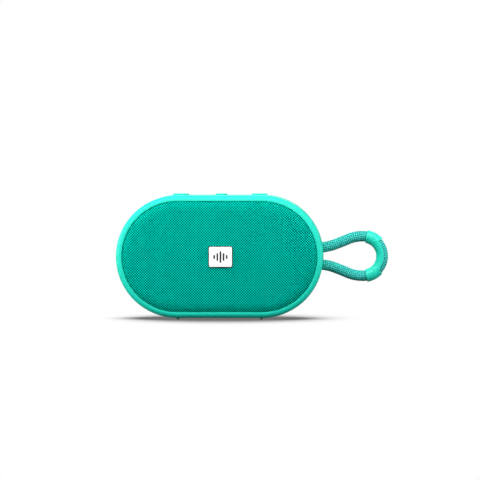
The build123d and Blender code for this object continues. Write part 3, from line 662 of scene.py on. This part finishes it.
def keys():
    """Three caps with sunk marks, each with its flange and stem."""
    for node in ("minus_key", "play_key", "plus_key"):
        low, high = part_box(node)
        centre = (low.x + high.x) / 2
        cap = key_block(node, 0.0, high.z - 3.2 * MM, high.z)
        edit(cap, "FACE")
        pick(cap, "faces", lambda at, face: face.normal.z > 0.9)
        bpy.ops.mesh.inset(thickness=0.35 * MM, depth=0)
        leave()
        soften(cap, 0.32 * MM, 4, 60)
        top = high.z
        if node == "play_key":
            pick_none()
            bpy.ops.mesh.primitive_cylinder_add(
                vertices=3, radius=1.7 * MM, depth=2 * MARK_DEEP,
                location=(centre - 0.2 * MM, 0, top), rotation=(0, 0, -pi / 2))
            carve(cap, start("mark"))
        else:
            arms = [(1.8, 0.35)] + ([(0.35, 1.8)] if node == "plus_key" else [])
            for wide, deep in arms:
                carve(cap, block("mark", (centre - wide * MM, -deep * MM, top - MARK_DEEP),
                                 (centre + wide * MM, deep * MM, top + MARK_DEEP)))
        flange = key_block(node, KEY_FLANGE, high.z - 3.8 * MM, high.z - 3.0 * MM)
        carve(cap, flange, "UNION")
        stem = rod("stem", 1.5 * MM, (centre, 0, low.z), (centre, 0, high.z - 3.5 * MM), "Z", 32)
        carve(cap, stem, "UNION")
        cap.name = node + "_cap"
        cap.data.name = cap.name
        place(smooth(cap), node, key_finish, "shell", node)


def feet():
    """Two narrow rails with rounded undersides."""
    for node in ("left_foot", "right_foot"):
        low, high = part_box(node)
        rail = block(node + "_rail", low, high)
        edit(rail, "EDGE")
        pick(rail, "edges", lambda at, edge: at.z < low.z + 1e-5)
        bpy.ops.mesh.bevel(offset=0.35 * MM, segments=5, affect="EDGES")
        leave()
        place(smooth(rail, 50), "root", soft_finish, "soft_rubber", node)


# ---- carrying loop ----
ROPE_D = 6.3 * MM
BULB_X = 83.0 * MM
BULB_R = 11.5 * MM
BULB_CORNER = BULB_R / cos(pi / 8)
ROPE_CELLS_ROUND = 17
ROPE_CELL = 1.15 * MM
ROPE_TWIST = 52 * MM                            # the braid wanders round and back over this length
ROPE_SEGMENTS = 102
BRAID_DEEP = 0.18 * MM                          # depth of the braid's relief


def rope_side():
    """One strand's corners, from its clamped end inside the body to the middle of the loop's round end."""
    points = [(46.6 * MM, 5.0 * MM), (54.0 * MM, 4.9 * MM), (62.3 * MM, 5.1 * MM), (70.6 * MM, 8.2 * MM),
              (BULB_X - BULB_CORNER * sin(pi / 8), BULB_R)]
    return points + [(BULB_X + BULB_CORNER * sin(a), BULB_CORNER * cos(a)) for a in (pi / 8, 3 * pi / 8)]


def smooth_route(points):
    """The points of one smooth curve that follows the given corners."""
    curve = bpy.data.curves.new("rope_route", "CURVE")
    curve.dimensions = "3D"
    curve.resolution_u = 40
    spline = curve.splines.new("NURBS")
    spline.points.add(len(points) - 1)
    for spot, co in zip(spline.points, points):
        spot.co = (*co, 1.0)
    spline.order_u = 3
    spline.use_endpoint_u = True
    route = bpy.data.objects.new("rope_route", curve)
    bpy.context.scene.collection.objects.link(route)
    bpy.context.view_layer.update()
    mesh = bpy.data.meshes.new_from_object(route)
    line = [v.co.copy() for v in mesh.vertices]
    bpy.data.objects.remove(route)
    bpy.data.meshes.remove(mesh)
    return line


def even_steps(line, step):
    """The same line, walked in equal steps."""
    lengths = [0.0]
    for a, b in zip(line, line[1:]):
        lengths.append(lengths[-1] + (b - a).length)
    count = ceil(lengths[-1] / step)
    spots, at = [], 0
    for i in range(count + 1):
        target = lengths[-1] * i / count
        while at < len(line) - 2 and lengths[at + 1] < target:
            at += 1
        share = (target - lengths[at]) / max(1e-12, lengths[at + 1] - lengths[at])
        spots.append(line[at].lerp(line[at + 1], share))
    return spots, lengths[-1]


def braid(around, along):
    """Height of the braid, 0 to 1, and how much the pale yarn shows, at a place counted in cells."""
    hump = sin(pi * (around % 1)) * sin(pi * (along % 1))
    return hump, min(1.0, max(0.0, (hump - 0.45) / 0.35))


def rope():
    """The braided tube: each cell of the braid is a small hump along the smooth route."""
    side = rope_side()
    corners = [(x, 0, CENTRE_Z + z) for x, z in side] + [(x, 0, CENTRE_Z - z) for x, z in side[::-1]]
    line, length = even_steps(smooth_route(corners), ROPE_CELL / 8)
    vertices, pale, deep = [], [], []
    for i, spot in enumerate(line):
        ahead = line[min(i + 1, len(line) - 1)] - line[max(i - 1, 0)]
        forward = ahead.normalized()
        sideways = Vector((-forward.z, 0, forward.x))
        run = length * i / (len(line) - 1)
        twist = 0.5 * sin(2 * pi * run / ROPE_TWIST)
        for k in range(ROPE_SEGMENTS):
            turn = 2 * pi * k / ROPE_SEGMENTS
            hump, above = braid(ROPE_CELLS_ROUND * k / ROPE_SEGMENTS + twist, run / ROPE_CELL)
            radius = ROPE_D / 2 - BRAID_DEEP * (1 - hump) ** 1.5
            vertices.append(spot + radius * (cos(turn) * sideways + sin(turn) * Vector((0, 1, 0))))
            pale.append(above)
            # Painted shade mask: full in the creases between braid cells, none on their humps.
            deep.append(max(0.0, 1 - hump * 3.0))
    n = ROPE_SEGMENTS
    faces = [(i * n + k, i * n + (k + 1) % n, (i + 1) * n + (k + 1) % n, (i + 1) * n + k)
             for i in range(len(line) - 1) for k in range(n)]
    faces += [tuple(range(n))[::-1], tuple((len(line) - 1) * n + k for k in range(n))]
    mesh = bpy.data.meshes.new("carrying_rope")
    mesh.from_pydata(vertices, [], faces)
    for name, values in (("pale", pale), ("deep", deep)):
        mesh.attributes.new(name, "FLOAT", "POINT").data.foreach_set("value", values)
    piece = bpy.data.objects.new("carrying_rope", mesh)
    bpy.context.scene.collection.objects.link(piece)
    edit(piece, "FACE")
    bpy.ops.mesh.select_all(action="SELECT")
    bpy.ops.mesh.normals_make_consistent(inside=False)
    leave()
    smooth(piece, 60)
    place(piece, None, ROPE_FINISH, "rope", "lanyard_cord", "lanyard_cord_ends")
    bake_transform(piece)
    return piece, length, line


GRIP_R = 3.8 * MM
GRIP_END = radians(80)
GRIP_OPEN = radians(43)


def rope_grip():
    """The moulded sleeve on the loop's round end: two collars joined by a saddle on the inside."""
    pick_none()
    bpy.ops.mesh.primitive_torus_add(
        major_radius=BULB_R, minor_radius=GRIP_R, major_segments=144, minor_segments=48,
        location=(BULB_X, 0, CENTRE_Z), rotation=(pi / 2, 0, 0))
    grip = start("rope_grip")

    def spare(at, _):
        dx, dz = at.x - BULB_X, at.z - CENTRE_Z
        angle = abs(atan2(dz, dx))
        limit = BULB_R + (0.25 + 0.75 * (angle / GRIP_OPEN) ** 2) * MM
        return angle > GRIP_END or (angle < GRIP_OPEN and hypot(dx, dz) > limit)

    edit(grip, "FACE")
    pick(grip, "faces", spare)
    bpy.ops.mesh.delete(type="FACE")
    leave()
    apply(grip, "SOLIDIFY", thickness=0.6 * MM, offset=-1.0)
    soften(grip, 0.16 * MM, 3, 50)
    return place(smooth(grip, 45), "loop", grip_finish, "grip", "lanyard_grip")


# ---- rear: port flap and rubber radiator ----
def port_cover():
    """The rubber port flap, its thin strap and the button that holds the strap: one moulding."""
    low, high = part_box("port_flap")
    lid = block("port_cover", (low.x + 1.15 * MM, low.y, low.z), (high.x, high.y, high.z))
    edit(lid, "EDGE")
    pick(lid, "edges", lambda at, edge: runs_along(edge, "y"))
    bpy.ops.mesh.bevel(offset=1.2 * MM, segments=6, affect="EDGES")
    leave()
    soften(lid, 0.25 * MM, 3, 60)
    base_low, base_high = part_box("flap_anchor")
    pad = block("pad", (base_low.x, RECESS_Y + 0.05 * MM, base_low.z),
                (base_low.x + 2.5 * MM, base_high.y, base_high.z))
    strap = block("strap", (base_low.x + 2.0 * MM, high.y - 0.6 * MM, base_low.z + 0.4 * MM),
                  (low.x + 2.0 * MM, high.y - 0.02 * MM, base_high.z - 0.4 * MM))
    edit(strap, "EDGE")
    bpy.ops.mesh.select_all(action="SELECT")
    bpy.ops.mesh.subdivide(number_cuts=15)
    leave()
    carve(lid, pad, "UNION")
    carve(lid, strap, "UNION")
    scoop = rod("scoop", 2.2 * MM, (high.x + 0.9 * MM, high.y - 0.45 * MM, CENTRE_Z),
                (high.x + 0.9 * MM, high.y + 2 * MM, CENTRE_Z))
    carve(lid, scoop)
    place(smooth(lid, 40), None, soft_finish, "soft_rubber", "port_flap", "flap_anchor")
    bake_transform(lid)


PASSIVE_ROLL = 6 * MM


def passive():
    """The racetrack plate and the rubber roll that lets it move."""
    low_y = 18.4 * MM
    middle_r = PASSIVE_R - PASSIVE_ROLL / 2
    outer = arc((middle_r, low_y), 2.85 * MM, 0, 180, 20)
    outer = [(r, low_y + (y - low_y) * 0.66) for r, y in outer]
    inner = [(r, y - 0.45 * MM) for r, y in arc((middle_r, low_y), 2.35 * MM, 180, 0, 20)]
    inner = [(r, low_y + (y + 0.45 * MM - low_y) * 0.6) for r, y in inner]
    lip = [(PASSIVE_R + 2.5 * MM, low_y), (PASSIVE_R + 2.5 * MM, low_y + 0.38 * MM)]
    roll = carry_round("radiator_roll", lip + outer + inner, PASSIVE_STRAIGHT)
    place(smooth(roll, 50), None, soft_finish, "soft_rubber", "passive_surround")
    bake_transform(roll)
    low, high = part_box("passive_plate")
    r = (high.z - low.z) / 2
    edge = 0.4 * MM
    section = [(0, low.y), (r, low.y), (r, high.y - edge)] + arc((r - edge, high.y - edge), edge, 0, 90, 5)
    section += [(r - 1.6 * MM, high.y), (r - 1.9 * MM, high.y - 0.3 * MM), (0, high.y - 0.3 * MM)]
    plate = carry_round("radiator_plate", section, PASSIVE_STRAIGHT, closed=False)
    place(smooth(plate), "passive_plate", shell_finish, "shell", "passive_plate")


# ---- the pieces kept from the frame ----
HIDDEN_FINISHES = {
    "dark_plastic": dict(tint=colour(42, 43, 46), roughness=0.55),
    "seal": dict(tint=colour(34, 34, 36), roughness=0.7),
    "steel": dict(tint=colour(176, 178, 180), roughness=0.32, Metallic=1.0),
    "magnet": dict(tint=colour(58, 58, 62), roughness=0.5, variation=0.15),
    "board": dict(tint=colour(20, 92, 56), roughness=0.4, variation=0.1),
    "chip": dict(tint=colour(30, 30, 33), roughness=0.45),
    "can": dict(tint=colour(196, 196, 198), roughness=0.28, Metallic=1.0),
    "connector": dict(tint=colour(228, 224, 208), roughness=0.5),
    "cell": dict(tint=colour(44, 96, 190), roughness=0.3),
    "copper": dict(tint=colour(196, 112, 62), roughness=0.3, Metallic=1.0),
    "paper": dict(tint=colour(34, 34, 36), roughness=0.75, bump=0.3),
    "spider_cloth": dict(tint=colour(190, 140, 70), roughness=0.8, bump=0.3),
}


def finish_frame_pieces():
    """Every node of the frame gets the finish of its slot."""
    made = {slot: moulded("inner_" + slot, **values) for slot, values in HIDDEN_FINISHES.items()}
    made.update(shell=shell_finish, lens=lens_finish, soft_rubber=soft_finish, grip=grip_finish,
                rope=ROPE_FINISH, cloth=CLOTH_FINISH, badge_dark=badge_dark, badge_white=badge_white)
    for part in frame["record"]["subparts"]:
        node = frame["nodes"][part["node"]]
        finish = made[part["material_slot"]]
        if not node.material_slots:
            node.data.materials.append(finish)
        for holder in node.material_slots:
            holder.material = finish


# ---- studio ----
FRAME_WIDTH = 0.2794                            # width of the view at the object
CAMERA_AWAY = 2.4
AIM = Vector((0.01147, 0.0, CENTRE_Z + 0.00925))
SURROUND = 0.45                                 # light that the white surround gives
CORE_SHADOW = 0.17                              # brightness of the floor right under the object
CAMERA_AZIMUTH = radians(1.45)
CAMERA_HEIGHT = radians(1.5)
SENSOR = 36
FLOOR_SIZE = 40
FLOOR_THROW = 0.12                              # how much light the floor throws back
SHADOW_REACH = 0.2
SHADOW_FROM, SHADOW_TO = 0.29, 0.76             # open sky at the shadow's core and at its edge
LEAN_REACH = 0.03
LIGHTS = [                                      # name, place, target, size, watts
    ("overhead", (0.0, -0.2, 0.27), (0, 0, 0.03), (0.5, 0.14), 1.55),
    ("front", (0.1, -1.2, 0.8), (0.02, 0, 0.04), (0.9, 0.5), 1.4),
    ("back", (-0.15, 1.2, 0.6), (0, 0, 0.03), (0.9, 0.5), 4),
    ("left_side", (-0.6, -0.15, 0.15), (-0.05, 0, 0.04), (0.3, 0.3), 3.2),
    ("right_side", (0.6, -0.12, 0.04), (0.08, 0, 0.03), (0.3, 0.2), 2.0),
]


def camera():
    """Looks at the cloth from a long way off, a little from the right and from above."""
    data = bpy.data.cameras.new("camera")
    data.sensor_width = SENSOR
    data.lens = SENSOR * CAMERA_AWAY / FRAME_WIDTH
    data.clip_end = 50
    seen = bpy.data.objects.new("camera", data)
    bpy.context.scene.collection.objects.link(seen)
    out = Vector((sin(CAMERA_AZIMUTH) * cos(CAMERA_HEIGHT), -cos(CAMERA_AZIMUTH) * cos(CAMERA_HEIGHT),
                  sin(CAMERA_HEIGHT)))
    seen.location = AIM + out * CAMERA_AWAY
    seen.rotation_euler = (-out).to_track_quat("-Z", "Y").to_euler()
    bpy.context.scene.camera = seen


def soft_light(name, spot, target, size, watts):
    """Rectangular lamp at a spot, turned to its target."""
    data = bpy.data.lights.new(name, "AREA")
    data.shape = "RECTANGLE"
    data.size, data.size_y = size
    data.energy = watts
    lamp = bpy.data.objects.new(name, data)
    bpy.context.scene.collection.objects.link(lamp)
    lamp.location = spot
    lamp.rotation_euler = (Vector(target) - Vector(spot)).to_track_quat("-Z", "Y").to_euler()


def white_surround():
    """Plain white all round, giving less light than it shows."""
    world = bpy.data.worlds.new("studio")
    world.use_nodes = True
    w = Wiring(world.node_tree)
    seen = w.node("ShaderNodeLightPath").outputs["Is Camera Ray"]
    strength = w.maths("MULTIPLY_ADD", seen, 1.0 - SURROUND, SURROUND)
    w.feed(world.node_tree.nodes["Background"].inputs["Color"], (1, 1, 1, 1))
    w.feed(world.node_tree.nodes["Background"].inputs["Strength"], strength)
    return world


def floor_finish():
    """White floor whose soft contact shadow follows whatever stands on it."""
    material, w, shader = new_material("pale_floor", Roughness=0.9, Specular_IOR_Level=0.0)
    seen = w.node("ShaderNodeLightPath").outputs["Is Camera Ray"]
    depth = w.split(w.node("ShaderNodeTexCoord").outputs["Object"])[1]
    lean = w.node("ShaderNodeMapRange", {"Value": depth, 1: -LEAN_REACH, 2: LEAN_REACH, 3: 1.0, 4: -1.0})
    facing = w.node("ShaderNodeCombineXYZ", {"Y": lean.outputs["Result"], "Z": 1.0})
    open_sky = w.node("ShaderNodeAmbientOcclusion",
                      {"Distance": SHADOW_REACH, "Normal": facing.outputs[0]}, samples=32)
    shade = w.node("ShaderNodeMapRange",
                   {"Value": open_sky.outputs["AO"], 1: SHADOW_FROM, 2: SHADOW_TO, 3: CORE_SHADOW, 4: 1.0},
                   interpolation_type="SMOOTHSTEP").outputs["Result"]
    thrown = (FLOOR_THROW, FLOOR_THROW, FLOOR_THROW, 1)
    w.feed(shader.inputs["Base Color"], w.mix(seen, thrown, (0, 0, 0, 1)))
    glow = w.node("ShaderNodeCombineColor", {"Red": shade, "Green": shade, "Blue": shade})
    w.feed(shader.inputs["Emission Color"], glow.outputs[0])
    w.feed(shader.inputs["Emission Strength"], seen)
    return material


def studio():
    """White surround, soft lamps and the floor."""
    scene = bpy.context.scene
    scene.view_settings.view_transform = "Standard"
    scene.world = white_surround()
    for lamp in LIGHTS:
        soft_light(*lamp)
    pick_none()
    bpy.ops.mesh.primitive_plane_add(size=FLOOR_SIZE, location=(0, 0, FLOOR_Z))
    floor = start("floor")
    floor.data.materials.append(floor_finish())


camera()
studio()
band()
back_shell()
cover_screws()
cloth_front()
badge()
keys()
feet()
rope_piece, rope_length, rope_line = rope()
grip_piece = rope_grip()
port_cover()
passive()
finish_frame_pieces()
